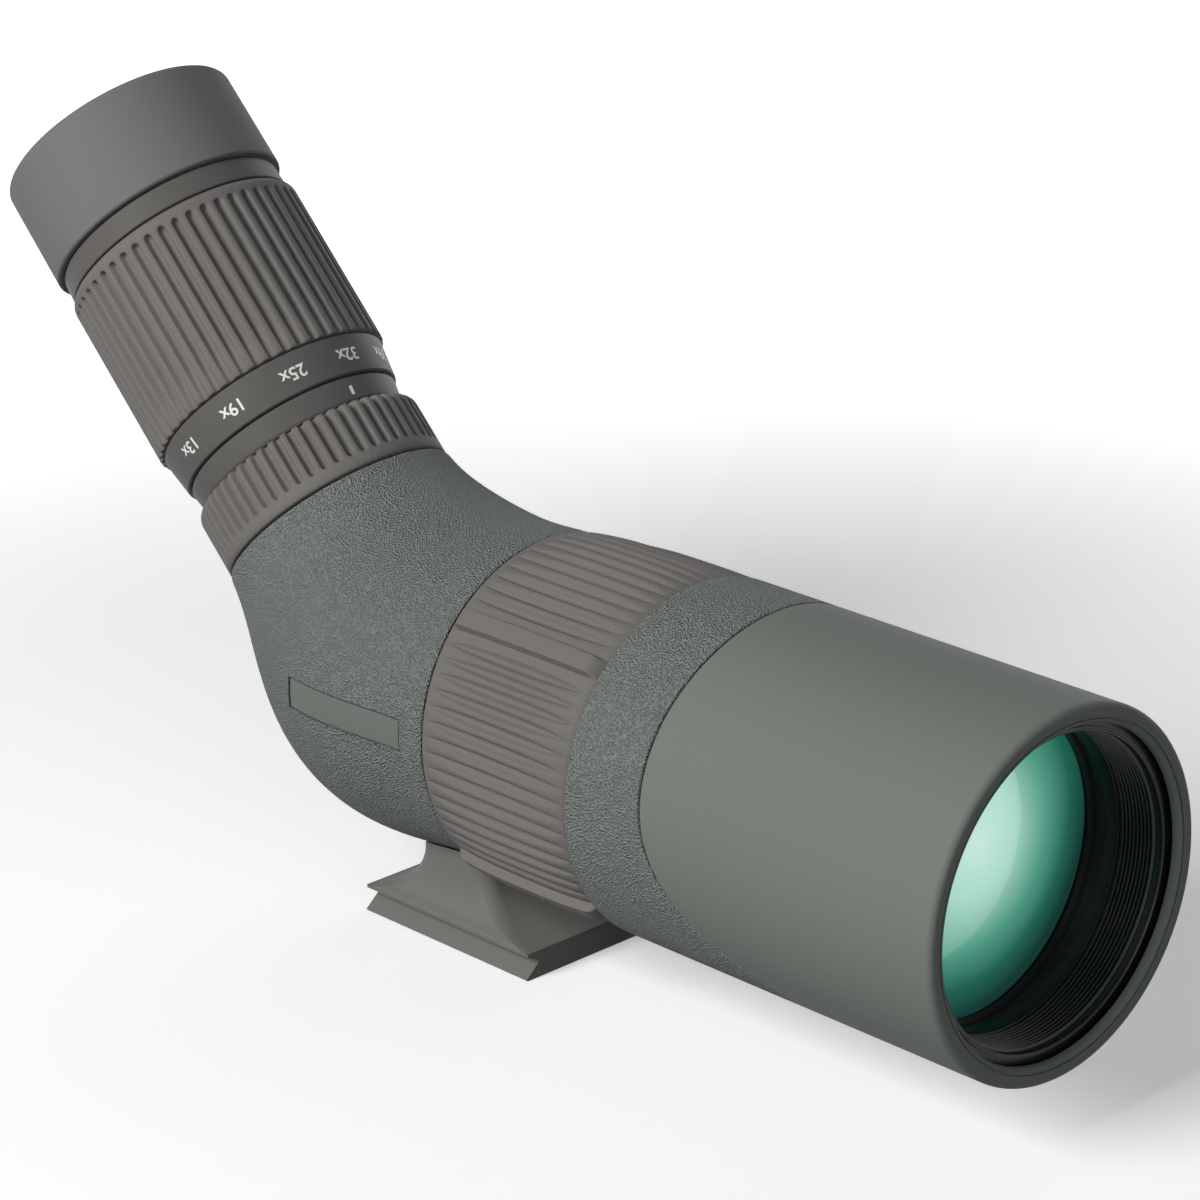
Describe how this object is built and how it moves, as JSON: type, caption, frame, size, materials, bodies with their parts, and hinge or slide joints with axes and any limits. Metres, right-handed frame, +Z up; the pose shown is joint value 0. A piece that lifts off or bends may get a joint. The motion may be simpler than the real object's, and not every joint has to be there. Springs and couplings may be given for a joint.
{
  "type": "spotting_scope",
  "caption": "Compact angled spotting scope with zoom eyepiece, ribbed focus ring, sliding sunshade and dovetail tripod foot",
  "frame": {"origin": "tripod thread, at the middle of the foot's flat base", "axes": "+X along the optical axis towards the objective, +Z up from the foot, the eyepiece leans back towards -X"},
  "size_m": [0.2561, 0.0654, 0.1442],
  "materials": {
    "sunshade_paint": "satin",
    "rubber_armor": "matte",
    "rubber_taupe": "matte",
    "anodised_grey": "satin",
    "black_metal": "satin",
    "plastic_black": "matte",
    "slide_plastic": "matte",
    "seal_rubber": "matte",
    "glass_coated": "polished",
    "glass_prism": "polished",
    "steel": "satin",
    "steel_dark": "satin"
  },
  "bodies": {
    "scope": {"sunshade_stop_ring": "steel_dark", "objective_tube": "black_metal", "objective_front_lens": "glass_coated", "objective_middle_lens": "glass_prism", "objective_rear_lens": "glass_prism", "objective_spacers": "black_metal", "objective_o_ring": "seal_rubber", "objective_retaining_ring": "black_metal", "light_baffles": "plastic_black", "tube_armor": "rubber_armor", "focus_ring_seals": "seal_rubber", "prism_housing": "black_metal", "body_armor": "rubber_armor", "nameplate": "anodised_grey", "roof_prism": "glass_prism", "prism_carrier": "black_metal", "prism_strap": "steel", "purge_screw": "steel_dark", "tripod_foot": "anodised_grey", "foot_screws": "steel_dark", "tripod_bushing": "steel", "eyepiece_mount": "black_metal", "eyepiece_mount_screws": "steel_dark", "eyepiece_barrel": "black_metal", "index_ring": "anodised_grey", "field_lens_cell": "black_metal", "field_lens": "glass_prism", "eye_lens_cell": "black_metal", "eye_lens": "glass_coated", "eye_lens_retaining_ring": "black_metal", "eyepiece_top_ring": "plastic_black", "name_ring": "anodised_grey"},
    "sunshade_slide": {"sunshade": "sunshade_paint", "sunshade_guide": "slide_plastic"},
    "focus_ring": {"focus_ring_sleeve": "black_metal", "focus_ring_grip": "rubber_taupe"},
    "focus_group": {"focus_cell": "black_metal", "focus_lens": "glass_prism", "focus_lens_retaining_ring": "black_metal", "focus_drive_pins": "steel"},
    "collar": {"locking_collar": "anodised_grey"},
    "zoom_ring": {"zoom_sleeve": "slide_plastic", "zoom_number_ring": "anodised_grey", "zoom_grip": "rubber_taupe"},
    "zoom_front_group": {"zoom_front_cell": "black_metal", "zoom_front_lens": "glass_prism", "zoom_front_pins": "steel"},
    "zoom_rear_group": {"zoom_rear_cell": "black_metal", "zoom_rear_lens": "glass_prism", "zoom_rear_pins": "steel"},
    "eyecup_turn": {"eyecup_cam_ring": "slide_plastic"},
    "eyecup_lift": {"eyecup_sleeve": "anodised_grey", "eyecup_pins": "steel", "eyecup": "rubber_taupe"}
  },
  "joints": [
    {"name": "sunshade_extend", "type": "slide", "parent": "scope", "child": "sunshade_slide", "axis": [1, 0, 0], "range_m": [0, 0.028]},
    {"name": "focus_turn", "type": "hinge", "parent": "scope", "child": "focus_ring", "pos_m": [0.0275, 0, 0.045], "axis": [1, 0, 0], "range_deg": [-120, 120]},
    {"name": "focus_travel", "type": "slide", "parent": "scope", "child": "focus_group", "axis": [1, 0, 0], "range_m": [-0.006, 0.006]},
    {"name": "collar_turn", "type": "hinge", "parent": "scope", "child": "collar", "pos_m": [-0.05165, 0, 0.06975], "axis": [-0.7071, 0, 0.7071], "range_deg": [0, 30]},
    {"name": "zoom_turn", "type": "hinge", "parent": "scope", "child": "zoom_ring", "pos_m": [-0.07498, 0, 0.09308], "axis": [-0.7071, 0, 0.7071], "range_deg": [-38.8, 82]},
    {"name": "zoom_front_travel", "type": "slide", "parent": "scope", "child": "zoom_front_group", "axis": [-0.7071, 0, 0.7071], "range_m": [-0.0031, 0.00656]},
    {"name": "zoom_rear_travel", "type": "slide", "parent": "scope", "child": "zoom_rear_group", "axis": [-0.7071, 0, 0.7071], "range_m": [-0.0041, 0.00194]},
    {"name": "eyecup_twist", "type": "hinge", "parent": "scope", "child": "eyecup_turn", "pos_m": [-0.10044, 0, 0.11854], "axis": [-0.7071, 0, 0.7071], "range_deg": [0, 150]},
    {"name": "eyecup_rise", "type": "slide", "parent": "eyecup_turn", "child": "eyecup_lift", "axis": [-0.7071, 0, 0.7071], "range_m": [0, 0.009]}
  ],
  "couplings": [
    {"joint": "focus_travel", "follows": "focus_turn", "m_per_rad": -0.0028648},
    {"joint": "zoom_front_travel", "follows": "zoom_turn", "m_per_rad": 0.0045837},
    {"joint": "zoom_rear_travel", "follows": "zoom_turn", "m_per_rad": -0.0028648},
    {"joint": "eyecup_rise", "follows": "eyecup_twist", "m_per_rad": 0.0034377}
  ]
}
